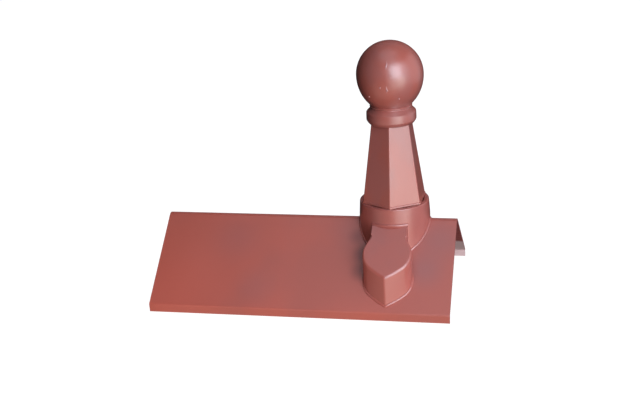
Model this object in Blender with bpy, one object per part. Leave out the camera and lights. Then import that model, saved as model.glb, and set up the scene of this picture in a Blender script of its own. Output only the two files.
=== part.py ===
"""Roof finial in glass-fibre moulding: a ridge cap, a saddle base bedded across its crown, and a
hexagonal post with a ball, which stands in the round socket of the base.

X runs along the ridge, Y across it and Z up. The origin is under the middle of the ridge cap,
level with the lower edges of its lips. All lengths are in metres.
"""

import math

import bmesh
import bpy

# Gap kept between pieces that bear on each other
BED_GAP = 0.0003

# Ridge cap: one sheet bent at the crown, with an upright lip along each lower edge
RIDGE_LENGTH = 0.450
WING_SLOPE = math.radians(40)
WING_WIDTH = 0.160
LIP_HEIGHT = 0.0125
SHEET_THICKNESS = 0.003
CROWN_INSIDE_RADIUS = 0.007
LIP_INSIDE_RADIUS = 0.001

# Saddle base: a round collar with a socket, and a foot on each wing of the ridge cap
FINIAL_SETBACK = 0.094
COLLAR_RADIUS = 0.0532
COLLAR_TAPER = 0.0013
COLLAR_RISE = 0.0315
COLLAR_BEND_RISE = 0.009
COLLAR_WALL = 0.003
SHELF_RISE = 0.0055
SOCKET_FLOOR_COVER = 0.002
FOOT_RISE = 0.045
FOOT_WIDTH = 0.072
FOOT_NECK_WIDTH = 0.052
FOOT_FLARE_LENGTH = 0.0245
FOOT_SHOULDER_RADIUS = 0.022
FOOT_NOSE_RADIUS = 0.130
FOOT_NOSE_ANGLE = math.radians(21)
FOOT_SETBACK = 0.0073
FOOT_EDGE_RADIUS = 0.002

# Post: spigot, tapered hexagonal shaft, turned ring and ball in one moulding
SPIGOT_CLEARANCE = 0.0077
SPIGOT_FLOOR_GAP = 0.002
SHAFT_SETBACK = 0.0010
SHAFT_BEAD_HEIGHT = 0.002
SHAFT_BEAD_DEPTH = 0.0005
SHAFT_HEIGHT = 0.1132
SHAFT_HEAD_RADIUS = 0.0328
SHAFT_EDGE_RADIUS = 0.0006
RING_RADIUS = 0.0361
RING_FOOT_RADIUS = 0.0305
RING_HEIGHT = 0.0311
RING_SHOULDER_HEIGHT = 0.0088
RING_BAND_HEIGHT = 0.0115
RING_THROAT_RADIUS = 0.0284
RING_CORNER_RADIUS = 0.0065
BALL_RADIUS = 0.0488
BALL_DROP = 0.0548

# Smoothness of round shapes
TURNED_STEPS = 56
BALL_STEPS = 16
ARC_STEPS = 8
EDGE_STEPS = 3

# How far a cutter or a buried end runs on past the surface that it has to reach
OVERRUN = 0.010

# Sizes that follow from the ones above
HALF_SPAN = WING_WIDTH * math.cos(WING_SLOPE)
APEX_HEIGHT = LIP_HEIGHT + WING_WIDTH * math.sin(WING_SLOPE)
CROWN_OUTSIDE_RADIUS = CROWN_INSIDE_RADIUS + SHEET_THICKNESS
CROWN_HEIGHT = APEX_HEIGHT - CROWN_OUTSIDE_RADIUS * (1 / math.cos(WING_SLOPE) - 1)
FINIAL_X = RIDGE_LENGTH / 2 - FINIAL_SETBACK
RIM_RADIUS = COLLAR_RADIUS - COLLAR_TAPER
RIM_HEIGHT = CROWN_HEIGHT + COLLAR_RISE
SOCKET_RADIUS = RIM_RADIUS - COLLAR_WALL
BEND_HEIGHT = CROWN_HEIGHT + COLLAR_BEND_RISE
SHELF_HEIGHT = CROWN_HEIGHT + SHELF_RISE
SOCKET_FLOOR_HEIGHT = SHELF_HEIGHT + SOCKET_FLOOR_COVER
SHAFT_FOOT_HEIGHT = RIM_HEIGHT + BED_GAP
RING_FOOT_HEIGHT = SHAFT_FOOT_HEIGHT + SHAFT_HEIGHT
RING_TOP_HEIGHT = RING_FOOT_HEIGHT + RING_HEIGHT
BAND_TOP_HEIGHT = RING_TOP_HEIGHT - RING_SHOULDER_HEIGHT
BAND_FOOT_HEIGHT = BAND_TOP_HEIGHT - RING_BAND_HEIGHT


def clear_scene():
    for scene_object in list(bpy.data.objects):
        bpy.data.objects.remove(scene_object)


def rounded(corners, steps=ARC_STEPS):
    """Points of an open path through corners (u, v, radius), each corner turned on an arc."""
    points = []
    for index, (u, v, radius) in enumerate(corners):
        if radius <= 0:
            points.append((u, v))
            continue
        before = corners[index - 1]
        after = corners[index + 1]
        arriving = math.atan2(v - before[1], u - before[0])
        leaving = math.atan2(after[1] - v, after[0] - u)
        turn = math.remainder(leaving - arriving, math.tau)
        tangent = radius * math.tan(abs(turn) / 2)
        side = math.copysign(1, turn)
        centre_u = u - tangent * math.cos(arriving) - side * radius * math.sin(arriving)
        centre_v = v - tangent * math.sin(arriving) + side * radius * math.cos(arriving)
        for step in range(steps + 1):
            heading = arriving + turn * step / steps
            points.append(
                (
                    centre_u + side * radius * math.sin(heading),
                    centre_v - side * radius * math.cos(heading),
                )
            )
    return points


def new_object(name, mesh):
    made = bpy.data.objects.new(name, mesh)
    bpy.context.scene.collection.objects.link(made)
    return made


def helper(made):
    """Marks an object as a shape that only serves a Boolean."""
    made.hide_render = True
    made.display_type = "WIRE"
    return made


def prism(name, points, travel):
    """A solid made by moving a closed, flat outline of 3D points along the vector travel."""
    mesh = bpy.data.meshes.new(name)
    shape = bmesh.new()
    face = shape.faces.new([shape.verts.new(point) for point in points])
    swept = bmesh.ops.extrude_face_region(shape, geom=[face])["geom"]
    moved = [item for item in swept if isinstance(item, bmesh.types.BMVert)]
    bmesh.ops.translate(shape, verts=moved, vec=travel)
    bmesh.ops.recalc_face_normals(shape, faces=shape.faces[:])
    shape.to_mesh(mesh)
    shape.free()
    return new_object(name, mesh)


def turned(name, profile):
    """A solid of revolution about the object's Z axis, from a profile of (radius, height)."""
    mesh = bpy.data.meshes.new(name)
    edges = [(index, index + 1) for index in range(len(profile) - 1)]
    mesh.from_pydata([(radius, 0, height) for radius, height in profile], edges, [])
    made = new_object(name, mesh)
    screw = made.modifiers.new("Turn", "SCREW")
    screw.axis = "Z"
    screw.steps = TURNED_STEPS
    screw.render_steps = TURNED_STEPS
    screw.use_merge_vertices = True
    screw.merge_threshold = 0.00001
    screw.use_smooth_shade = True
    return made


def boolean(target, other, operation):
    modifier = target.modifiers.new(f"{operation.title()} {other.name}", "BOOLEAN")
    modifier.operation = operation
    modifier.solver = "EXACT"
    modifier.object = other


def round_edges(target, radius, steps):
    bevel = target.modifiers.new("Rounded edges", "BEVEL")
    bevel.width = radius
    bevel.segments = steps
    bevel.limit_method = "ANGLE"
    bevel.angle_limit = math.radians(30)


def gel_coat(target, color, roughness):
    """A pigmented gel coat of its own for each piece, on a Principled shader."""
    material = bpy.data.materials.new(f"{target.name} gel coat")
    material.use_nodes = True
    shader = material.node_tree.nodes["Principled BSDF"]
    shader.inputs["Base Color"].default_value = (*color, 1)
    shader.inputs["Roughness"].default_value = roughness
    shader.inputs["Metallic"].default_value = 0
    target.data.materials.append(material)


def ridge_path(inset):
    """Section of the ridge cap in (y, z), at a depth of inset below its outer skin."""
    edge = HALF_SPAN - inset
    down = inset / math.cos(WING_SLOPE)
    bend = LIP_HEIGHT + inset * math.tan(WING_SLOPE) - down
    lip_radius = LIP_INSIDE_RADIUS + SHEET_THICKNESS - inset
    crown_radius = CROWN_OUTSIDE_RADIUS - inset
    return rounded(
        [
            (-edge, 0, 0),
            (-edge, bend, lip_radius),
            (0, APEX_HEIGHT - down, crown_radius),
            (edge, bend, lip_radius),
            (edge, 0, 0),
        ]
    )


def make_ridge_cap():
    outline = ridge_path(0) + ridge_path(SHEET_THICKNESS)[::-1]
    start = -RIDGE_LENGTH / 2
    cap = prism("ridge_cap", [(start, y, z) for y, z in outline], (RIDGE_LENGTH, 0, 0))
    gel_coat(cap, (0.39, 0.110, 0.088), 0.42)


def foot_side():
    """One side of a foot in plan, from its nose back to its neck, as (half width, distance)."""
    nose = HALF_SPAN - FOOT_SETBACK
    half_width = FOOT_WIDTH / 2
    nose_u = -FOOT_NOSE_RADIUS * math.sin(FOOT_NOSE_ANGLE)
    nose_v = nose - FOOT_NOSE_RADIUS * math.cos(FOOT_NOSE_ANGLE)
    shoulder_u = half_width - FOOT_SHOULDER_RADIUS
    span = FOOT_NOSE_RADIUS - FOOT_SHOULDER_RADIUS
    join = math.asin((shoulder_u - nose_u) / span)
    shoulder_v = nose_v + span * math.cos(join)
    points = []
    for step in range(ARC_STEPS):
        angle = FOOT_NOSE_ANGLE + (join - FOOT_NOSE_ANGLE) * step / ARC_STEPS
        points.append(
            (
                nose_u + FOOT_NOSE_RADIUS * math.sin(angle),
                nose_v + FOOT_NOSE_RADIUS * math.cos(angle),
            )
        )
    for step in range(ARC_STEPS):
        angle = join + (math.pi / 2 - join) * step / ARC_STEPS
        points.append(
            (
                shoulder_u + FOOT_SHOULDER_RADIUS * math.sin(angle),
                shoulder_v + FOOT_SHOULDER_RADIUS * math.cos(angle),
            )
        )
    narrowing = (FOOT_WIDTH - FOOT_NECK_WIDTH) / 2
    for step in range(ARC_STEPS + 1):
        share = step / ARC_STEPS
        inward = narrowing * (1 - math.cos(math.pi * share)) / 2
        points.append((half_width - inward, shoulder_v - FOOT_FLARE_LENGTH * share))
    return points


def make_feet():
    """Both feet and the neck that joins them through the collar, before the base is cut."""
    side = foot_side()
    outline = [(u, -v) for u, v in side]
    outline += [(u, v) for u, v in reversed(side)]
    outline += [(-u, v) for u, v in side[1:]]
    outline += [(-u, -v) for u, v in reversed(side[1:])]
    plan = [(FINIAL_X + u, v, 0) for u, v in outline]
    feet = helper(prism("feet", plan, (0, 0, RIM_HEIGHT)))

    def top(distance):
        return APEX_HEIGHT + FOOT_RISE - distance * math.tan(WING_SLOPE)

    shelf_edge = (APEX_HEIGHT + FOOT_RISE - SHELF_HEIGHT) / math.tan(WING_SLOPE)
    end = HALF_SPAN + OVERRUN
    section = [
        (-end, -OVERRUN),
        (-end, top(end)),
        (-shelf_edge, SHELF_HEIGHT),
        (shelf_edge, SHELF_HEIGHT),
        (end, top(end)),
        (end, -OVERRUN),
    ]
    left = FINIAL_X - FOOT_WIDTH / 2 - OVERRUN
    travel = (FOOT_WIDTH + 2 * OVERRUN, 0, 0)
    slope = helper(prism("feet_slope", [(left, y, z) for y, z in section], travel))
    boolean(feet, slope, "INTERSECT")
    round_edges(feet, FOOT_EDGE_RADIUS, EDGE_STEPS)
    return feet


def make_ridge_bed():
    """The space that the ridge cap fills, grown by the bed gap, to cut the saddle's underside."""
    section = ridge_path(-BED_GAP)
    low = [(section[-1][0], -2 * OVERRUN), (section[0][0], -2 * OVERRUN)]
    left = FINIAL_X - COLLAR_RADIUS - OVERRUN
    travel = (2 * (COLLAR_RADIUS + OVERRUN), 0, 0)
    return helper(prism("ridge_bed", [(left, y, z) for y, z in section + low], travel))


def make_base():
    lip = COLLAR_WALL / 2 * 0.98
    buried = APEX_HEIGHT - COLLAR_RADIUS * math.tan(WING_SLOPE) - OVERRUN
    profile = rounded(
        [
            (0, SOCKET_FLOOR_HEIGHT, 0),
            (SOCKET_RADIUS, SOCKET_FLOOR_HEIGHT, 0),
            (SOCKET_RADIUS, RIM_HEIGHT, lip),
            (RIM_RADIUS, RIM_HEIGHT, lip),
            (COLLAR_RADIUS, BEND_HEIGHT, 0),
            (COLLAR_RADIUS, buried, 0),
            (0, buried, 0),
        ],
        EDGE_STEPS,
    )
    base = turned("finial_base", profile)
    base.location.x = FINIAL_X
    boolean(base, make_feet(), "UNION")
    boolean(base, make_ridge_bed(), "DIFFERENCE")
    gel_coat(base, (0.38, 0.106, 0.086), 0.38)


def make_shaft():
    """Tapered hexagonal shaft with its arrises to the front and back and a bead at its foot."""
    foot_radius = RIM_RADIUS - SHAFT_SETBACK - SHAFT_BEAD_DEPTH
    taper = (foot_radius - SHAFT_HEAD_RADIUS) / SHAFT_HEIGHT
    buried = min(OVERRUN, RING_HEIGHT / 2)
    rings = [
        (foot_radius + SHAFT_BEAD_DEPTH, 0),
        (foot_radius + SHAFT_BEAD_DEPTH, SHAFT_BEAD_HEIGHT - SHAFT_BEAD_DEPTH),
        (foot_radius - taper * SHAFT_BEAD_HEIGHT, SHAFT_BEAD_HEIGHT),
        (SHAFT_HEAD_RADIUS - taper * buried, SHAFT_HEIGHT + buried),
    ]
    mesh = bpy.data.meshes.new("shaft")
    shape = bmesh.new()
    loops = []
    for radius, height in rings:
        loop = []
        for corner in range(6):
            angle = math.radians(60 * corner - 90)
            place = (radius * math.cos(angle), radius * math.sin(angle), height)
            loop.append(shape.verts.new(place))
        loops.append(loop)
    for lower, upper in zip(loops, loops[1:]):
        for corner in range(6):
            follow = (corner + 1) % 6
            shape.faces.new([lower[corner], lower[follow], upper[follow], upper[corner]])
    shape.faces.new(loops[0][::-1])
    shape.faces.new(loops[-1])
    shape.to_mesh(mesh)
    shape.free()
    shaft = helper(new_object("shaft", mesh))
    shaft.location = (FINIAL_X, 0, SHAFT_FOOT_HEIGHT)
    round_edges(shaft, SHAFT_EDGE_RADIUS, 2)
    return shaft


def make_post():
    spigot_radius = SOCKET_RADIUS - SPIGOT_CLEARANCE
    core_radius = SHAFT_HEAD_RADIUS / 2
    ball_low = BALL_DROP * math.sqrt(1 - (RING_THROAT_RADIUS / BALL_RADIUS) ** 2)
    ball_height = RING_TOP_HEIGHT + ball_low
    start = -math.asin(ball_low / BALL_DROP)
    ball = []
    for step in range(BALL_STEPS + 1):
        angle = math.pi / 2 + (start - math.pi / 2) * step / BALL_STEPS
        reach = BALL_RADIUS if angle > 0 else BALL_DROP
        ball.append((BALL_RADIUS * math.cos(angle), ball_height + reach * math.sin(angle)))
    ball[0] = (0, ball_height + BALL_RADIUS)
    ring = rounded(
        [
            (RING_THROAT_RADIUS, RING_TOP_HEIGHT, 0),
            (RING_RADIUS, BAND_TOP_HEIGHT, RING_CORNER_RADIUS),
            (RING_RADIUS, BAND_FOOT_HEIGHT, RING_CORNER_RADIUS),
            (RING_FOOT_RADIUS, RING_FOOT_HEIGHT, 0),
        ],
        EDGE_STEPS,
    )
    core = [
        (core_radius, RING_FOOT_HEIGHT),
        (core_radius, SHAFT_FOOT_HEIGHT + OVERRUN),
        (spigot_radius, SHAFT_FOOT_HEIGHT + OVERRUN),
        (spigot_radius, SOCKET_FLOOR_HEIGHT + SPIGOT_FLOOR_GAP),
        (0, SOCKET_FLOOR_HEIGHT + SPIGOT_FLOOR_GAP),
    ]
    post = turned("finial_post", ball + ring[1:] + core)
    post.location.x = FINIAL_X
    boolean(post, make_shaft(), "UNION")
    gel_coat(post, (0.37, 0.100, 0.082), 0.36)


clear_scene()
make_ridge_cap()
make_base()
make_post()
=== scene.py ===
"""The looks of a glass-fibre roof finial: a folded ridge cap, the saddle base bonded over its
crown, and the hexagonal post with its ring and ball that stands in the base's round collar.

X runs along the ridge, Y across it and Z up, in metres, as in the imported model.
"""

import math
import random

import bmesh
import bpy
from mathutils import Euler, Matrix, Vector


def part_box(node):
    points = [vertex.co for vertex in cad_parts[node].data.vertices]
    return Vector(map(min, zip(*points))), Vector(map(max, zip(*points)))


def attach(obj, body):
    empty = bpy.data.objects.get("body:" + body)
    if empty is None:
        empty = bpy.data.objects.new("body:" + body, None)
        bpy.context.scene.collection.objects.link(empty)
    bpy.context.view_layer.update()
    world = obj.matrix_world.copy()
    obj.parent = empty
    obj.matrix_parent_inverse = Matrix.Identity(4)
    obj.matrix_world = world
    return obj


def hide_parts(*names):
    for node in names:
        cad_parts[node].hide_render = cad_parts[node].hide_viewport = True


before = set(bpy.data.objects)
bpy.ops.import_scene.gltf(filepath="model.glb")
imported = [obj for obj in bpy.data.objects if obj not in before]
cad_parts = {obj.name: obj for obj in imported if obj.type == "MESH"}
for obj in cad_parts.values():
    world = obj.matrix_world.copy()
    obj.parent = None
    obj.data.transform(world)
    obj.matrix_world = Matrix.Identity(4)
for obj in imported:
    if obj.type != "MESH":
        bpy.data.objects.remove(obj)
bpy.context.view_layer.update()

bpy.ops.object.select_all(action="DESELECT")

# Camera: it stands in front of the right half of the ridge, looks down on it by about 20 degrees
# and is turned a little to the left. Its lens is shifted sideways by a tenth of the frame, as in a
# picture cut from a wider one.
CAMERA_PLACE = Vector((0.36691, -1.39565, 0.66069))
CAMERA_TURN = math.radians(10.17)
CAMERA_DOWN = math.radians(20.17)
CAMERA_ROLL = math.radians(-2.31)
FOCAL_LENGTH_MM = 56.5
SENSOR_WIDTH_MM = 36
CAMERA_SHIFT = -0.1016

bpy.ops.object.camera_add()
camera = bpy.context.object
camera.name = "camera"
camera.data.sensor_width = SENSOR_WIDTH_MM
camera.data.lens = FOCAL_LENGTH_MM
camera.data.shift_x = CAMERA_SHIFT
aim = Euler((math.pi / 2 - CAMERA_DOWN, 0, CAMERA_TURN)).to_matrix()
aim = aim @ Matrix.Rotation(CAMERA_ROLL, 3, "Z")
camera.matrix_world = Matrix.Translation(CAMERA_PLACE) @ aim.to_4x4()
bpy.context.scene.camera = camera

# Ridge cap: one sheet of glass-fibre laminate, laid up in a folded mould, with terracotta gel coat
# outside, and inside the raw laminate, dark reddish above and pale in a ragged band low down. The
# crown is rolled, each lower edge turns down into a short upright lip, and the ends are sawn
# square.
ridge_low, ridge_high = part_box("ridge_cap")
RIDGE_LENGTH = ridge_high.x - ridge_low.x
HALF_SPAN = ridge_high.y
WING_SLOPE = math.radians(40)
LIP_HEIGHT = 0.0125
SHEET_THICKNESS = 0.003
CROWN_RADIUS = 0.010
BEND_RADIUS = 0.004
SAWN_EDGE_RADIUS = 0.0004
APEX_HEIGHT = LIP_HEIGHT + HALF_SPAN * math.tan(WING_SLOPE)
COLUMNS = 45
ROWS = 16
SHORTEST_WING_EDGE = 0.1
# Shallow hollows and swells in the sheet: (along the ridge, share of the way down, rise, reach)
WAVES = (
    (-0.110, 0.35, -0.00045, 0.085),
    (-0.010, 0.62, -0.00040, 0.080),
    (-0.185, 0.60, 0.00030, 0.060),
    (0.050, 0.30, 0.00025, 0.060),
    (-0.060, 0.80, 0.00030, 0.060),
)
TERRACOTTA = (0.465, 0.091, 0.060)
TERRACOTTA_DULL = (0.410, 0.088, 0.062)
# Two tones for patches on the wing, one darker and one lighter than the rest, laid where the wing's
# tone differs.
TERRACOTTA_DARKER = (0.325, 0.097, 0.087)
TERRACOTTA_LIGHTER = (0.540, 0.102, 0.066)
# Painted shade: a dark colour laid in the creases beside the collar and the feet, where shadow
# falls.
PAINTED_CREASE_SHADE = (0.140, 0.022, 0.014)
# Places on the front wing that differ in tone: (middle, reach, how much, colour)
WING_PATCHES = (
    ((-0.108, -0.035, 0.086), 0.060, 0.35, TERRACOTTA_DARKER),
    ((-0.068, -0.097, 0.034), 0.045, 0.35, TERRACOTTA_DARKER),
    ((0.070, -0.020, 0.099), 0.050, 0.35, TERRACOTTA_DARKER),
    ((0.182, -0.068, 0.058), 0.045, 0.9, TERRACOTTA_DARKER),
    ((0.200, -0.030, 0.090), 0.055, 0.8, TERRACOTTA_DARKER),
    ((-0.200, -0.100, 0.031), 0.120, 0.6, TERRACOTTA_LIGHTER),
    # The last three patches are painted shade: dark colour where shadow falls on the wing beside
    # the collar and the front foot's left side.
    ((0.088, -0.050, 0.073), 0.020, 0.5, PAINTED_CREASE_SHADE),
    ((0.086, -0.074, 0.053), 0.020, 0.45, PAINTED_CREASE_SHADE),
    ((0.078, -0.028, 0.092), 0.020, 0.5, PAINTED_CREASE_SHADE),
)
GEL_COAT_IOR = 1.63
WAX_WEIGHT = 1.0
WAX_ROUGHNESS = 0.30
FLECK_SCALE = 420
FLECK_SHARE = 0.35
SMEAR_SCALE = 22
PEEL_SCALE = 320
PEEL_HEIGHT = 0.00004
MOULD_WAVE_SCALE = 26
MOULD_WAVE_HEIGHT = 0.00035
LAMINATE = (0.270, 0.060, 0.052)
LAMINATE_RESIN = (0.370, 0.095, 0.085)
# The inside turns pale below a ragged line at about this height.
LOW_PALE_TONE = (0.660, 0.450, 0.440)
LOW_PALE_HEIGHT = 0.044
LOW_PALE_FADE = 0.007
LOW_PALE_RAGGED = 0.012
STRAND_SCALE = 300
STRAND_HEIGHT = 0.0004
SAWN_EDGE = (0.300, 0.085, 0.078)
CHIPPED_EDGE = (0.700, 0.600, 0.580)
CHIP_HEIGHT = 0.016
CHIP_FADE = 0.0064
CHIP_SCALE = 260


def pick(piece):
    """Makes this piece the only one selected, and the active one."""
    bpy.ops.object.select_all(action="DESELECT")
    piece.select_set(True)
    bpy.context.view_layer.objects.active = piece


def edit(name):
    """Puts the named piece into edit mode with nothing selected."""
    pick(bpy.data.objects[name])
    bpy.ops.object.mode_set(mode="EDIT")
    bpy.ops.mesh.select_mode(type="VERT")
    bpy.ops.mesh.select_all(action="DESELECT")


def choose(kind, test):
    """Selects the vertices, edges or faces, by kind, that pass the test. Returns how many."""
    bpy.ops.mesh.select_mode(type={"verts": "VERT", "edges": "EDGE", "faces": "FACE"}[kind])
    bpy.ops.mesh.select_all(action="DESELECT")
    mesh = bmesh.from_edit_mesh(bpy.context.object.data)
    found = [item for item in getattr(mesh, kind) if test(item)]
    for item in found:
        item.select_set(True)
    mesh.select_flush_mode()
    bmesh.update_edit_mesh(bpy.context.object.data)
    return len(found)


def face_outwards():
    """Turns every face of the piece in edit mode outwards."""
    bpy.ops.mesh.select_all(action="SELECT")
    bpy.ops.mesh.normals_make_consistent(inside=False)


def leave_edit():
    """Leaves edit mode and returns the piece."""
    bpy.ops.object.mode_set(mode="OBJECT")
    return bpy.context.object


def near(value, target):
    """Whether two lengths agree to a tenth of a millimetre."""
    return abs(value - target) < 0.0001


def middle(edge):
    """The middle of an edge."""
    return (edge.verts[0].co + edge.verts[1].co) / 2


def apply_modifier(piece, kind, **settings):
    """Adds one modifier with these settings and applies it to the mesh."""
    pick(piece)
    modifier = piece.modifiers.new(kind.title(), kind)
    for name, value in settings.items():
        setattr(modifier, name, value)
    bpy.ops.object.modifier_apply(modifier=modifier.name)


def shade(piece, angle):
    """Shades smooth across edges below this angle, and keeps the large flat faces flat."""
    pick(piece)
    bpy.ops.object.shade_smooth_by_angle(angle=math.radians(angle))
    apply_modifier(piece, "WEIGHTED_NORMAL", keep_sharp=True)


def new_material(name):
    """A material, its nodes, links and shader, and the piece's own coordinates."""
    material = bpy.data.materials.new(name)
    material.use_nodes = True
    nodes = material.node_tree.nodes
    place = nodes.new("ShaderNodeTexCoord").outputs["Object"]
    return material, nodes, material.node_tree.links, nodes["Principled BSDF"], place


def noise(nodes, links, place, scale, detail, stretch=(1, 1, 1), shift=0.0):
    """A noise pattern fixed to the piece, as a value between 0 and 1."""
    mapping = nodes.new("ShaderNodeMapping")
    mapping.inputs["Scale"].default_value = stretch
    mapping.inputs["Location"].default_value = (shift, shift, shift)
    texture = nodes.new("ShaderNodeTexNoise")
    texture.inputs["Scale"].default_value = scale
    texture.inputs["Detail"].default_value = detail
    links.new(place, mapping.inputs["Vector"])
    links.new(mapping.outputs["Vector"], texture.inputs["Vector"])
    return texture.outputs["Fac"]


def coordinate(nodes, links, place, axis):
    """The piece's own X, Y or Z, in metres."""
    split = nodes.new("ShaderNodeSeparateXYZ")
    links.new(place, split.inputs["Vector"])
    return split.outputs[axis]


def calculate(nodes, links, operation, *values):
    """One step of arithmetic on numbers and on sockets that give numbers."""
    step = nodes.new("ShaderNodeMath")
    step.operation = operation
    for socket, value in zip(step.inputs, values):
        if isinstance(value, (int, float)):
            socket.default_value = value
        else:
            links.new(value, socket)
    return step.outputs["Value"]


def spread(nodes, links, value, low, high, to_low, to_high):
    """Maps low to high of a value onto to_low to to_high, with soft ends."""
    fit = nodes.new("ShaderNodeMapRange")
    fit.interpolation_type = "SMOOTHSTEP"
    fit.inputs["From Min"].default_value = low
    fit.inputs["From Max"].default_value = high
    fit.inputs["To Min"].default_value = to_low
    fit.inputs["To Max"].default_value = to_high
    links.new(value, fit.inputs["Value"])
    return fit.outputs["Result"]


def blend_colors(nodes, links, share, first, second):
    """Mixes two colours, or sockets that give colours, by share."""
    mix = nodes.new("ShaderNodeMix")
    mix.data_type = "RGBA"
    links.new(share, mix.inputs["Factor"])
    for socket, color in ((mix.inputs["A"], first), (mix.inputs["B"], second)):
        if isinstance(color, tuple):
            socket.default_value = (*color, 1)
        else:
            links.new(color, socket)
    return mix.outputs["Result"]


def raise_by(nodes, links, height, distance, below=None):
    """A bump of this height in metres, laid over another normal."""
    bump = nodes.new("ShaderNodeBump")
    bump.inputs["Strength"].default_value = 1
    bump.inputs["Distance"].default_value = distance
    links.new(height, bump.inputs["Height"])
    if below is not None:
        links.new(below, bump.inputs["Normal"])
    return bump.outputs["Normal"]


def closeness(nodes, links, place, centre, reach, most):
    """The most at the centre, falling softly to 0 at this distance from it."""
    apart = nodes.new("ShaderNodeVectorMath")
    apart.operation = "DISTANCE"
    apart.inputs[1].default_value = centre
    links.new(place, apart.inputs[0])
    return spread(nodes, links, apart.outputs["Value"], 0, reach, most, 0)


def gel_coat(name, bright, dull, cloud_scale, roughness, shift, patches=()):
    """Pigmented gel coat: cloudy in tone, fine orange peel and slow waves from the mould."""
    material, nodes, links, shader, place = new_material(name)
    clouds = noise(nodes, links, place, cloud_scale, 3, stretch=(1, 1, 0.6), shift=shift)
    tone = spread(nodes, links, clouds, 0.38, 0.62, 0, 1)
    color = blend_colors(nodes, links, tone, bright, dull)
    specks = noise(nodes, links, place, FLECK_SCALE, 2, shift=shift)
    fleck = spread(nodes, links, specks, 0.60, 0.78, 0, FLECK_SHARE)
    color = blend_colors(nodes, links, fleck, color, dull)
    for centre, reach, most, tint in patches:
        share = closeness(nodes, links, place, centre, reach, most)
        color = blend_colors(nodes, links, share, color, tint)
    links.new(color, shader.inputs["Base Color"])
    smears = noise(nodes, links, place, SMEAR_SCALE, 4, stretch=(1, 1, 0.4), shift=shift + 3)
    gloss = spread(nodes, links, smears, 0.3, 0.7, roughness - 0.04, roughness + 0.05)
    links.new(gloss, shader.inputs["Roughness"])
    peel = noise(nodes, links, place, PEEL_SCALE, 2, shift=shift)
    slow = noise(nodes, links, place, MOULD_WAVE_SCALE, 2, shift=shift + 5)
    normal = raise_by(nodes, links, slow, MOULD_WAVE_HEIGHT)
    normal = raise_by(nodes, links, peel, PEEL_HEIGHT, normal)
    links.new(normal, shader.inputs["Normal"])
    shader.inputs["IOR"].default_value = GEL_COAT_IOR
    shader.inputs["Coat Weight"].default_value = WAX_WEIGHT
    shader.inputs["Coat Roughness"].default_value = WAX_ROUGHNESS
    return material, nodes, links, shader, place, normal


bpy.ops.mesh.primitive_plane_add(size=1)
bpy.context.object.name = "ridge_sheet"
edit("ridge_sheet")
bpy.ops.mesh.select_all(action="SELECT")
bpy.ops.transform.resize(value=(RIDGE_LENGTH, HALF_SPAN, 1))
bpy.ops.transform.translate(value=(0, -HALF_SPAN / 2, LIP_HEIGHT))
choose("verts", lambda vert: near(vert.co.y, 0))
bpy.ops.transform.translate(value=(0, 0, APEX_HEIGHT - LIP_HEIGHT))
choose("edges", lambda edge: near(middle(edge).y, 0))
bpy.ops.mesh.extrude_region_move(
    TRANSFORM_OT_translate={"value": (0, HALF_SPAN, LIP_HEIGHT - APEX_HEIGHT)}
)
choose("edges", lambda edge: near(abs(middle(edge).y), HALF_SPAN))
bpy.ops.mesh.extrude_region_move(TRANSFORM_OT_translate={"value": (0, 0, -LIP_HEIGHT)})
choose("edges", lambda edge: near(middle(edge).y, 0) and near(middle(edge).x, 0))
bpy.ops.mesh.bevel(
    offset_type="OFFSET", offset=CROWN_RADIUS * math.tan(WING_SLOPE), segments=12
)
bend_turn = math.pi / 2 - WING_SLOPE
choose(
    "edges",
    lambda edge: near(abs(middle(edge).y), HALF_SPAN) and near(middle(edge).z, LIP_HEIGHT),
)
bpy.ops.mesh.bevel(
    offset_type="OFFSET", offset=BEND_RADIUS * math.tan(bend_turn / 2), segments=6
)
choose("edges", lambda edge: near(edge.verts[0].co.y, edge.verts[1].co.y))
bpy.ops.mesh.subdivide(number_cuts=COLUMNS - 1)
choose("edges", lambda edge: abs(edge.verts[0].co.y - edge.verts[1].co.y) > SHORTEST_WING_EDGE)
bpy.ops.mesh.subdivide(number_cuts=ROWS - 1)
wing_normal = Vector((0, -math.sin(WING_SLOPE), math.cos(WING_SLOPE)))
for along, share, rise, reach in WAVES:
    down = share * HALF_SPAN
    centre = Vector((along, -down, APEX_HEIGHT - down * math.tan(WING_SLOPE)))
    if choose("verts", lambda vert: (vert.co - centre).length < reach / 8):
        bpy.ops.transform.translate(
            value=wing_normal * rise,
            use_proportional_edit=True,
            proportional_edit_falloff="SMOOTH",
            proportional_size=reach,
        )
face_outwards()
ridge = leave_edit()
outer = gel_coat("ridge gel coat", TERRACOTTA, TERRACOTTA_DULL, 7, 0.42, 0.0, WING_PATCHES)[0]

laminate, nodes, links, shader, place = new_material("bare laminate")
strands = noise(nodes, links, place, STRAND_SCALE, 4, stretch=(0.25, 1, 1))
share = spread(nodes, links, strands, 0.35, 0.7, 0, 1)
color = blend_colors(nodes, links, share, LAMINATE, LAMINATE_RESIN)
height = coordinate(nodes, links, place, "Z")
uneven_line = noise(nodes, links, place, 45, 3)
ragged = calculate(nodes, links, "MULTIPLY_ADD", uneven_line, LOW_PALE_RAGGED, height)
share = spread(nodes, links, ragged, LOW_PALE_HEIGHT, LOW_PALE_HEIGHT + LOW_PALE_FADE, 1, 0)
color = blend_colors(nodes, links, share, color, LOW_PALE_TONE)
links.new(color, shader.inputs["Base Color"])
shader.inputs["Roughness"].default_value = 0.6
links.new(raise_by(nodes, links, strands, STRAND_HEIGHT), shader.inputs["Normal"])

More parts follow.
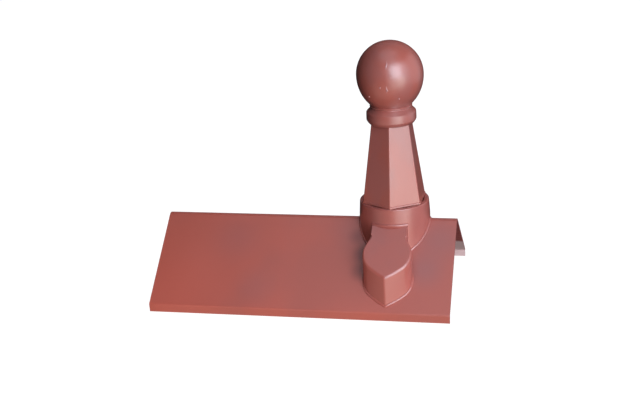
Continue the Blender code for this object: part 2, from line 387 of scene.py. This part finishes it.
sawn, nodes, links, shader, place = new_material("sawn edge")
height = coordinate(nodes, links, place, "Z")
low = spread(nodes, links, height, CHIP_HEIGHT - CHIP_FADE, CHIP_HEIGHT, 1, 0)
chips = spread(nodes, links, noise(nodes, links, place, CHIP_SCALE, 2), 0.50, 0.58, 0, 1)
share = calculate(nodes, links, "MULTIPLY", low, chips)
color = blend_colors(nodes, links, share, SAWN_EDGE, CHIPPED_EDGE)
links.new(color, shader.inputs["Base Color"])
shader.inputs["Roughness"].default_value = 0.7

ridge.data.materials.append(outer)
ridge.data.materials.append(laminate)
ridge.data.materials.append(sawn)
apply_modifier(
    ridge, "SOLIDIFY", thickness=SHEET_THICKNESS, offset=-1, use_even_offset=True,
    material_offset=1, material_offset_rim=2,
)
apply_modifier(
    ridge, "BEVEL", width=SAWN_EDGE_RADIUS, segments=2, limit_method="ANGLE",
    angle_limit=math.radians(60),
)
shade(ridge, 35)
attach(ridge, "root")
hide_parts("ridge_cap")

# Saddle base: one glass-fibre moulding bonded astride the crown. It has a round collar with an
# open socket, and on each wing a foot like a boat's bow, with a flat top that slopes with the
# roof. Resin has squeezed out into a fine bead along the line where it meets the cap.
base_low, base_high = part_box("finial_base")
FINIAL_X = (base_low.x + base_high.x) / 2
COLLAR_RADIUS = (base_high.x - base_low.x) / 2
RIM_HEIGHT = base_high.z
FOOT_REACH = base_high.y
CROWN_HEIGHT = ridge_high.z
COLLAR_TAPER = 0.0013
COLLAR_WALL = 0.0076
COLLAR_BEND_RISE = 0.009
RIM_EDGE_RADIUS = 0.0020
SHELF_RISE = 0.0055
SOCKET_FLOOR_COVER = 0.002
FOOT_RISE = 0.045
FOOT_WIDTH = 0.072
FOOT_NECK_WIDTH = 0.052
FOOT_FLARE_LENGTH = 0.0245
FOOT_SHOULDER_RADIUS = 0.022
FOOT_NOSE_RADIUS = 0.130
FOOT_NOSE_ANGLE = math.radians(21)
FOOT_EDGE_RADIUS = 0.0030
RESIN_BEAD_RADIUS = 0.0019
RESIN_BEAD_LIFT = 0.0004
RESIN_BEAD_UNEVEN = 0.0003
FOOT_BEAD_TUCK = 0.012
COLLAR_BEAD_TURN = math.radians(63)
ROLL_DEPTH = 0.0020
ROLL_HALF_HEIGHT = 0.0028
ROLL_RISE = 0.0032
NECK_EDGE_END = 0.062
NOSE_EDGE_RADIUS = 0.0016
SEAT_GAP = 0.0001
BURIED = 0.030
TURN_STEPS = 144
NECK_STEPS = 20
WELD_DISTANCE = 0.000005
BASE_BRIGHT = (0.410, 0.093, 0.070)
BASE_DULL = (0.370, 0.096, 0.079)
# Painted shade: the darker colour below and the first patch darken the collar's left front, the
# side turned from the light; the second patch darkens the crease left of the collar, where shadow
# falls.
BASE_PAINTED_SHADE = (0.290, 0.075, 0.063)
BASE_PATCHES = (
    ((0.115, -0.050, 0.130), 0.036, 0.55, BASE_PAINTED_SHADE),
    ((0.092, -0.036, 0.104), 0.026, 0.75, PAINTED_CREASE_SHADE),
)


def arc(centre_u, centre_v, radius, start, end, steps):
    """Points on an arc, with its angles in radians."""
    points = []
    for step in range(steps + 1):
        angle = start + (end - start) * step / steps
        points.append((centre_u + radius * math.cos(angle), centre_v + radius * math.sin(angle)))
    return points


def draw(name, points):
    """A new piece that is a chain of vertices, each extruded from the one before."""
    bpy.ops.mesh.primitive_plane_add(size=0.001)
    bpy.context.object.name = name
    edit(name)
    bpy.ops.mesh.select_all(action="SELECT")
    bpy.ops.mesh.merge(type="CENTER")
    bpy.ops.transform.translate(value=points[0])
    for before, after in zip(points, points[1:]):
        step = [new - old for old, new in zip(before, after)]
        bpy.ops.mesh.extrude_vertices_move(TRANSFORM_OT_translate={"value": step})


def fill():
    """Fills the drawn outline with one face."""
    bpy.ops.mesh.select_all(action="SELECT")
    bpy.ops.mesh.edge_face_add()


def weld():
    """Merges the points of the piece in edit mode that meet."""
    bpy.ops.mesh.select_all(action="SELECT")
    bpy.ops.mesh.remove_doubles(threshold=WELD_DISTANCE)


def turn(name, profile):
    """A solid spun about the finial's axis from a profile of (radius, height)."""
    draw(name, [(FINIAL_X + radius, 0, height) for radius, height in profile])
    bpy.ops.mesh.select_all(action="SELECT")
    bpy.ops.mesh.spin(steps=TURN_STEPS, angle=math.tau, center=(FINIAL_X, 0, 0), axis=(0, 0, 1))
    weld()
    face_outwards()
    return leave_edit()


def combine(piece, other, operation):
    """Adds or cuts the other shape, exactly, and takes it away."""
    apply_modifier(piece, "BOOLEAN", operation=operation, solver="EXACT", object=other)
    bpy.data.objects.remove(other)


def foot_side():
    """One side of a foot in plan, nose to neck, as (half width, distance from the ridge)."""
    half_width = FOOT_WIDTH / 2
    nose_u = -FOOT_NOSE_RADIUS * math.sin(FOOT_NOSE_ANGLE)
    nose_v = FOOT_REACH - FOOT_NOSE_RADIUS * math.cos(FOOT_NOSE_ANGLE)
    shoulder_u = half_width - FOOT_SHOULDER_RADIUS
    span = FOOT_NOSE_RADIUS - FOOT_SHOULDER_RADIUS
    join = math.asin((shoulder_u - nose_u) / span)
    shoulder_v = nose_v + span * math.cos(join)
    quarter = math.pi / 2
    bow = arc(nose_u, nose_v, FOOT_NOSE_RADIUS, quarter - FOOT_NOSE_ANGLE, quarter - join, 16)
    shoulder = arc(shoulder_u, shoulder_v, FOOT_SHOULDER_RADIUS, quarter - join, 0, 16)
    flare = []
    for step in range(1, 17):
        inward = (FOOT_WIDTH - FOOT_NECK_WIDTH) / 4 * (1 - math.cos(math.pi * step / 16))
        flare.append((half_width - inward, shoulder_v - FOOT_FLARE_LENGTH * step / 16))
    return bow[:-1] + shoulder + flare


def neck_ring(name, section, front):
    """A closed length of ring over one foot's neck, from a section of (radius, height)."""
    half_angle = math.asin(FOOT_NECK_WIDTH / 2 / COLLAR_RADIUS)
    start = front * math.pi / 2 - half_angle
    across, along = math.cos(start), math.sin(start)
    draw(name, [(FINIAL_X + radius * across, radius * along, height) for radius, height in section])
    fill()
    bpy.ops.mesh.spin(
        steps=NECK_STEPS, angle=-2 * half_angle, center=(FINIAL_X, 0, 0), axis=(0, 0, 1)
    )
    face_outwards()
    return leave_edit()


def bead(name, path):
    """A round bead of resin along a path, made as a curve and turned into a closed mesh."""
    draw(name, path)
    pick(leave_edit())
    bpy.ops.object.convert(target="CURVE")
    curve = bpy.context.object.data
    curve.dimensions = "3D"
    curve.bevel_depth = RESIN_BEAD_RADIUS
    curve.bevel_resolution = 2
    curve.use_fill_caps = True
    bpy.ops.object.convert(target="MESH")
    edit(bpy.context.object.name)
    weld()
    face_outwards()
    return leave_edit()


def nose_edge(edge):
    """Whether this is the upright edge at the tip of a foot."""
    upright = near(edge.verts[0].co.y, edge.verts[1].co.y)
    return upright and near(middle(edge).x, FINIAL_X) and abs(middle(edge).y) > COLLAR_RADIUS


def top_rim(edge):
    """Whether this edge runs round the top of a foot, clear of its neck."""
    rises = [face.normal.z > 0.5 for face in edge.link_faces]
    return any(rises) and not all(rises) and abs(middle(edge).y) > NECK_EDGE_END


def ridge_top(distance):
    """Height of the cap's outer skin at this distance from the ridge."""
    roll = CROWN_RADIUS * math.sin(WING_SLOPE)
    if abs(distance) < roll:
        return CROWN_HEIGHT - CROWN_RADIUS + math.sqrt(CROWN_RADIUS**2 - distance**2)
    return APEX_HEIGHT - abs(distance) * math.tan(WING_SLOPE)


SHELF_HEIGHT = CROWN_HEIGHT + SHELF_RISE
SOCKET_FLOOR_HEIGHT = SHELF_HEIGHT + SOCKET_FLOOR_COVER
RIM_RADIUS = COLLAR_RADIUS - COLLAR_TAPER
SOCKET_RADIUS = RIM_RADIUS - COLLAR_WALL
buried_height = APEX_HEIGHT - COLLAR_RADIUS * math.tan(WING_SLOPE) - BURIED
profile = [(0, SOCKET_FLOOR_HEIGHT), (SOCKET_RADIUS, SOCKET_FLOOR_HEIGHT)]
profile += arc(
    SOCKET_RADIUS + RIM_EDGE_RADIUS, RIM_HEIGHT - RIM_EDGE_RADIUS, RIM_EDGE_RADIUS,
    math.pi, math.pi / 2, 6,
)
profile += arc(
    RIM_RADIUS - RIM_EDGE_RADIUS, RIM_HEIGHT - RIM_EDGE_RADIUS, RIM_EDGE_RADIUS,
    math.pi / 2, 0, 6,
)
profile += [
    (COLLAR_RADIUS, CROWN_HEIGHT + COLLAR_BEND_RISE),
    (COLLAR_RADIUS, buried_height),
    (0, buried_height),
]
base = turn("saddle_base", profile)

side = foot_side()
for front in (-1, 1):
    outline = [(FINIAL_X - u, front * v, 0) for u, v in reversed(side)]
    outline += [(FINIAL_X + u, front * v, 0) for u, v in side[1:]]
    outline += [(FINIAL_X + side[-1][0], 0, 0), (FINIAL_X - side[-1][0], 0, 0)]
    draw("foot", outline)
    fill()
    bpy.ops.mesh.extrude_region_move(TRANSFORM_OT_translate={"value": (0, 0, RIM_HEIGHT)})
    bpy.ops.mesh.select_all(action="SELECT")
    bpy.ops.mesh.bisect(
        plane_co=(FINIAL_X, 0, APEX_HEIGHT + FOOT_RISE),
        plane_no=(0, front * math.sin(WING_SLOPE), math.cos(WING_SLOPE)),
        use_fill=True, clear_outer=True,
    )
    bpy.ops.mesh.select_all(action="SELECT")
    bpy.ops.mesh.bisect(
        plane_co=(FINIAL_X, 0, SHELF_HEIGHT), plane_no=(0, 0, 1), use_fill=True, clear_outer=True
    )
    face_outwards()
    choose("edges", nose_edge)
    bpy.ops.mesh.bevel(offset_type="OFFSET", offset=NOSE_EDGE_RADIUS, segments=3)
    choose("edges", top_rim)
    bpy.ops.mesh.bevel(offset_type="OFFSET", offset=FOOT_EDGE_RADIUS, segments=8)
    combine(base, leave_edit(), "UNION")

neck_height = APEX_HEIGHT + FOOT_RISE - COLLAR_RADIUS * math.tan(WING_SLOPE)
roll_section = [
    (COLLAR_RADIUS + ROLL_DEPTH * out, neck_height + ROLL_RISE + ROLL_HALF_HEIGHT * up)
    for out, up in arc(0, 0, 1, 0, math.tau, 16)[:-1]
]
uneven = random.Random(7)


def laid(u, v):
    """A point of a bead, a little uneven, on the cap beside the finial."""
    wander = uneven.uniform(-RESIN_BEAD_UNEVEN, RESIN_BEAD_UNEVEN)
    return (FINIAL_X + u, v, ridge_top(v) + RESIN_BEAD_LIFT + wander)


for front in (-1, 1):
    combine(base, neck_ring("roll", roll_section, front), "UNION")
    inside = (side[-1][0], COLLAR_RADIUS - FOOT_BEAD_TUCK)
    half = [laid(u, front * v) for u, v in side[::2] + [inside]]
    other = [laid(-u, front * v) for u, v in side[2::2] + [inside]]
    combine(base, bead("foot_bead", other[::-1] + half), "UNION")
for to_right in (-1, 1):
    points = arc(0, 0, COLLAR_RADIUS, -COLLAR_BEAD_TURN, COLLAR_BEAD_TURN, 36)
    combine(base, bead("collar_bead", [laid(to_right * u, v) for u, v in points]), "UNION")

edge = HALF_SPAN + BURIED
roll_angle = math.pi / 2 - WING_SLOPE
skin = [(-edge, APEX_HEIGHT - edge * math.tan(WING_SLOPE) + SEAT_GAP)]
skin += arc(
    0, CROWN_HEIGHT - CROWN_RADIUS, CROWN_RADIUS + SEAT_GAP, math.pi - roll_angle, roll_angle, 16
)
skin += [(edge, APEX_HEIGHT - edge * math.tan(WING_SLOPE) + SEAT_GAP)]
skin += [(edge, -2 * BURIED - edge), (-edge, -2 * BURIED - edge)]
left = FINIAL_X - COLLAR_RADIUS - BURIED
draw("ridge_bed", [(left, y, z) for y, z in skin])
fill()
bpy.ops.mesh.extrude_region_move(
    TRANSFORM_OT_translate={"value": (2 * (COLLAR_RADIUS + BURIED), 0, 0)}
)
face_outwards()
combine(base, leave_edit(), "DIFFERENCE")
shade(base, 32)
coat = gel_coat("saddle gel coat", BASE_BRIGHT, BASE_DULL, 16, 0.40, 2.0, BASE_PATCHES)[0]
base.data.materials.append(coat)
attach(base, "root")
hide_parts("finial_base")

# Post: one hollow glass-fibre moulding, of a tapered hexagonal shaft, a turned ring and a ball.
# It stands on the collar's rim by its six corners. A mould seam runs up the front of the ball, and
# a few pips stand on it where resin filled pinholes in the mould.
SHAFT_GAP = 0.0003
SHAFT_HEIGHT = 0.1132
SHAFT_SETBACK = 0.0010
# The bead round the shaft's foot, downwards: (how far it has grown outwards, how far down)
SHAFT_BEAD = ((0.0006, 0.0003), (0.0011, 0.0009), (0.0014, 0.0018), (0.0014, 0.0027))
SHAFT_HEAD_RADIUS = 0.0328
SHAFT_EDGE_RADIUS = 0.0011
SHAFT_HEAD_COVER = 0.0104
# The hexagon isn't quite regular: its front edge and one foot corner are off by about this much.
SHAFT_SKEW = 0.0010
RING_HEIGHT = 0.0311
# The ring under the ball, downwards: (radius, depth below the ring's top). A small roll against
# the ball, a cove and a sloping shoulder, an upright band, and the undercut.
RING_PROFILE = (
    (0.0300, -0.0006),
    (0.0308, 0.0000),
    (0.0312, 0.0007),
    (0.0310, 0.0014),
    (0.0303, 0.0020),
    (0.0297, 0.0026),
    (0.0299, 0.0032),
    (0.0308, 0.0040),
    (0.0330, 0.0058),
    (0.0355, 0.0082),
    (0.0364, 0.0095),
    (0.0366, 0.0150),
    (0.0366, 0.0204),
    (0.0363, 0.0215),
    (0.0356, 0.0227),
    (0.0344, 0.0245),
    (0.0330, 0.0260),
    (0.0321, 0.0265),
)
RING_THROAT_RADIUS = 0.0284
BALL_RADIUS = 0.0488
BALL_DROP = 0.0548
BALL_FOOT_RADIUS = 0.0294
SPIGOT_RADIUS = 0.0412
SPIGOT_FLOOR_GAP = 0.002
SPIGOT_COVER = 0.010
SEAM_WIDTH = 0.0013
SEAM_HEIGHT = 0.0004
SEAM_OFFSET = 0.0028
SEAM_WANDER = 0.005
# Where the seam stands out, raised and painted paler as a painted highlight: (height, reach). It is
# rubbed down nearly flat elsewhere.
SEAM_MARKS = ((0.3555, 0.008), (0.3215, 0.007))
PIP_RADIUS = 0.0014
PIP_RISE = 0.0010
PIP_GLINT_REACH = 0.0024
PIP_GLINT_SHARE = 0.6
# Pips: (along the ridge, height), both in the model's frame. Each stands on the ball's front.
PIPS = ((0.1242, 0.3241), (0.1063, 0.3086), (0.1490, 0.3063), (0.1346, 0.3202))
# Painted highlight: a pale colour on the seam marks and round the pips, standing in for the glints
# they catch.
SEAM_AND_PIP_GLINT = (0.560, 0.270, 0.270)
POST_BRIGHT = (0.420, 0.100, 0.073)
POST_DULL = (0.375, 0.108, 0.089)

SHAFT_FOOT_HEIGHT = RIM_HEIGHT + SHAFT_GAP
RING_TOP_HEIGHT = SHAFT_FOOT_HEIGHT + SHAFT_HEIGHT + RING_HEIGHT
ball_low = BALL_DROP * math.sqrt(1 - (RING_THROAT_RADIUS / BALL_RADIUS) ** 2)
BALL_HEIGHT = RING_TOP_HEIGHT + ball_low
profile = arc(0, BALL_HEIGHT, BALL_RADIUS, math.pi / 2, 0, 30)
profile[0] = (0, BALL_HEIGHT + BALL_RADIUS)
for radius, height in arc(0, 0, 1, 0, -math.acos(BALL_FOOT_RADIUS / BALL_RADIUS), 22)[1:]:
    profile.append((BALL_RADIUS * radius, BALL_HEIGHT + BALL_DROP * height))
profile += [(radius, RING_TOP_HEIGHT - depth) for radius, depth in RING_PROFILE]
ring_foot = profile[-1][1]
core = SHAFT_HEAD_RADIUS / 2
profile += [
    (core, ring_foot),
    (core, SHAFT_FOOT_HEIGHT + SPIGOT_COVER),
    (SPIGOT_RADIUS, SHAFT_FOOT_HEIGHT + SPIGOT_COVER),
    (SPIGOT_RADIUS, SOCKET_FLOOR_HEIGHT + SPIGOT_FLOOR_GAP),
    (0, SOCKET_FLOOR_HEIGHT + SPIGOT_FLOOR_GAP),
]
post = turn("post", profile)

bead_width, bead_height = SHAFT_BEAD[-1]
low_radius = RIM_RADIUS - SHAFT_SETBACK - bead_width
taper = (low_radius - SHAFT_HEAD_RADIUS) / (SHAFT_HEIGHT - bead_height)
bpy.ops.mesh.primitive_cone_add(
    vertices=6,
    radius1=low_radius,
    radius2=SHAFT_HEAD_RADIUS - taper * SHAFT_HEAD_COVER,
    depth=SHAFT_HEIGHT + SHAFT_HEAD_COVER - bead_height,
    location=(0, 0, 0),
)
bpy.context.object.name = "shaft"
edit("shaft")
bpy.ops.mesh.select_all(action="SELECT")
shaft_middle = SHAFT_FOOT_HEIGHT + (SHAFT_HEIGHT + SHAFT_HEAD_COVER + bead_height) / 2
bpy.ops.transform.translate(value=(FINIAL_X, 0, shaft_middle))
bead_top = SHAFT_FOOT_HEIGHT + bead_height
choose("verts", lambda vert: near(vert.co.x, FINIAL_X) and vert.co.y < 0)
bpy.ops.transform.translate(value=(SHAFT_SKEW, 0, 0))
choose(
    "verts",
    lambda vert: near(vert.co.z, bead_top) and vert.co.x > FINIAL_X + core and vert.co.y < 0,
)
bpy.ops.transform.translate(value=(-SHAFT_SKEW, 0, 0))
choose("edges", lambda edge: abs(edge.verts[0].co.z - edge.verts[1].co.z) > core)
bpy.ops.mesh.bevel(offset_type="OFFSET", offset=SHAFT_EDGE_RADIUS, segments=3)
choose("faces", lambda face: near(face.calc_center_median().z, bead_top))
grown, sunk = 0, 0
for out, down in SHAFT_BEAD:
    bpy.ops.mesh.extrude_region_move(TRANSFORM_OT_translate={"value": (0, 0, sunk - down)})
    widen = (low_radius + out) / (low_radius + grown)
    bpy.ops.transform.resize(value=(widen, widen, 1), center_override=(FINIAL_X, 0, bead_top))
    grown, sunk = out, down
face_outwards()
combine(post, leave_edit(), "UNION")


def ball_front(x, height):
    """The point of the ball's front at this place along the ridge and this height."""
    stretch = BALL_RADIUS / (BALL_DROP if height < BALL_HEIGHT else BALL_RADIUS)
    square = BALL_RADIUS**2 - (x - FINIAL_X) ** 2 - ((height - BALL_HEIGHT) * stretch) ** 2
    return (x, -math.sqrt(square), height)


for x, height in PIPS:
    bpy.ops.mesh.primitive_uv_sphere_add(segments=16, ring_count=8, radius=PIP_RADIUS)
    bpy.context.object.name = "pip"
    edit("pip")
    bpy.ops.mesh.select_all(action="SELECT")
    bpy.ops.transform.translate(value=ball_front(x, height))
    bpy.ops.transform.translate(value=(0, PIP_RADIUS - PIP_RISE, 0))
    combine(post, leave_edit(), "UNION")
shade(post, 30)

# Painted highlight: a pale spot round each pip.
pip_glints = [(ball_front(*pip), PIP_GLINT_REACH, PIP_GLINT_SHARE, SEAM_AND_PIP_GLINT) for pip in PIPS]
coat, nodes, links, shader, place, normal = gel_coat(
    "post gel coat", POST_BRIGHT, POST_DULL, 24, 0.36, 6.0, pip_glints
)
along = coordinate(nodes, links, place, "X")
wander = noise(nodes, links, place, 90, 2)
along = calculate(nodes, links, "MULTIPLY_ADD", wander, SEAM_WANDER, along)
seam_x = FINIAL_X + SEAM_OFFSET + SEAM_WANDER / 2
apart = calculate(nodes, links, "ABSOLUTE", calculate(nodes, links, "SUBTRACT", along, seam_x))
line = spread(nodes, links, apart, 0, SEAM_WIDTH, 1, 0)
color = shader.inputs["Base Color"].links[0].from_socket
# Each seam mark is raised, and painted paler as a painted highlight.
for height, reach in SEAM_MARKS:
    centre = ball_front(FINIAL_X + SEAM_OFFSET, height)
    mark = closeness(nodes, links, place, centre, reach, 1)
    share = calculate(nodes, links, "MULTIPLY", line, mark)
    normal = raise_by(nodes, links, share, SEAM_HEIGHT, normal)
    color = blend_colors(nodes, links, share, color, SEAM_AND_PIP_GLINT)
links.new(color, shader.inputs["Base Color"])
links.new(normal, shader.inputs["Normal"])
post.data.materials.append(coat)
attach(post, "root")
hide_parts("finial_post")

# Studio: a large window-like light with a brighter middle at the front right, a weaker one at the
# right, one overhead, one behind, and three low warm panels for what the surroundings throw back.
# The white floor only shows to the camera, so the low panels reach the finial through it.
FLOOR_SIZE = 60
FLOOR_COLOR = (0.10, 0.10, 0.10)
FLOOR_GLOW = 1.00
DAYLIGHT = (0.88, 1.00, 1.13)
BOUNCED = (1.00, 0.94, 0.86)
RED_BOUNCED = (1.00, 0.72, 0.62)
ROOM_LIGHT = 0.02


def soft_light(name, azimuth, elevation, distance, width, height, power, color):
    """An area light that faces the finial, from this direction as seen from it, in degrees."""
    bpy.ops.object.light_add(type="AREA")
    light = bpy.context.object
    light.name = name
    light.data.shape = "RECTANGLE"
    light.data.size = width
    light.data.size_y = height
    light.data.energy = power
    light.data.color = color
    light.visible_camera = False
    turned, raised = math.radians(azimuth), math.radians(elevation)
    away = Vector((
        math.sin(turned) * math.cos(raised), -math.cos(turned) * math.cos(raised), math.sin(raised)
    ))
    target = Vector((FINIAL_X, 0, RIM_HEIGHT))
    light.location = target + away * distance
    light.rotation_euler = (-away).to_track_quat("-Z", "Y").to_euler()
    return light


soft_light("window", 39, 23, 2.2, 2.4, 2.2, 20, DAYLIGHT)
soft_light("window middle", 31, 24, 2.2, 1.4, 1.6, 30, DAYLIGHT)
soft_light("right window", 98, 14, 2.2, 3.0, 2.6, 15, DAYLIGHT)
soft_light("sky", 0, 78, 2.2, 1.8, 1.8, 6, DAYLIGHT)
soft_light("low panel", 34, -14, 2.2, 2.0, 1.2, 11, BOUNCED)
soft_light("low right panel", 48, -6, 2.0, 1.0, 0.8, 4, BOUNCED)
soft_light("cloth", -14, -23, 0.40, 0.7, 0.35, 0.36, RED_BOUNCED)
soft_light("back", 180, 38, 2.2, 2.2, 1.8, 36, DAYLIGHT).visible_glossy = False

bpy.ops.mesh.primitive_plane_add(size=FLOOR_SIZE)
floor = bpy.context.object
floor.name = "floor"
paper, nodes, links, shader, place = new_material("white paper")
shader.inputs["Base Color"].default_value = (*FLOOR_COLOR, 1)
shader.inputs["Roughness"].default_value = 0.8
shader.inputs["Emission Color"].default_value = (1, 1, 1, 1)
shader.inputs["Emission Strength"].default_value = FLOOR_GLOW
floor.data.materials.append(paper)
floor.visible_diffuse = floor.visible_glossy = floor.visible_shadow = False

world = bpy.data.worlds.new("room")
bpy.context.scene.world = world
world.use_nodes = True
world.node_tree.nodes["Background"].inputs["Color"].default_value = (*DAYLIGHT, 1)
world.node_tree.nodes["Background"].inputs["Strength"].default_value = ROOM_LIGHT
bpy.context.scene.view_settings.view_transform = "Standard"

bpy.context.view_layer.update()
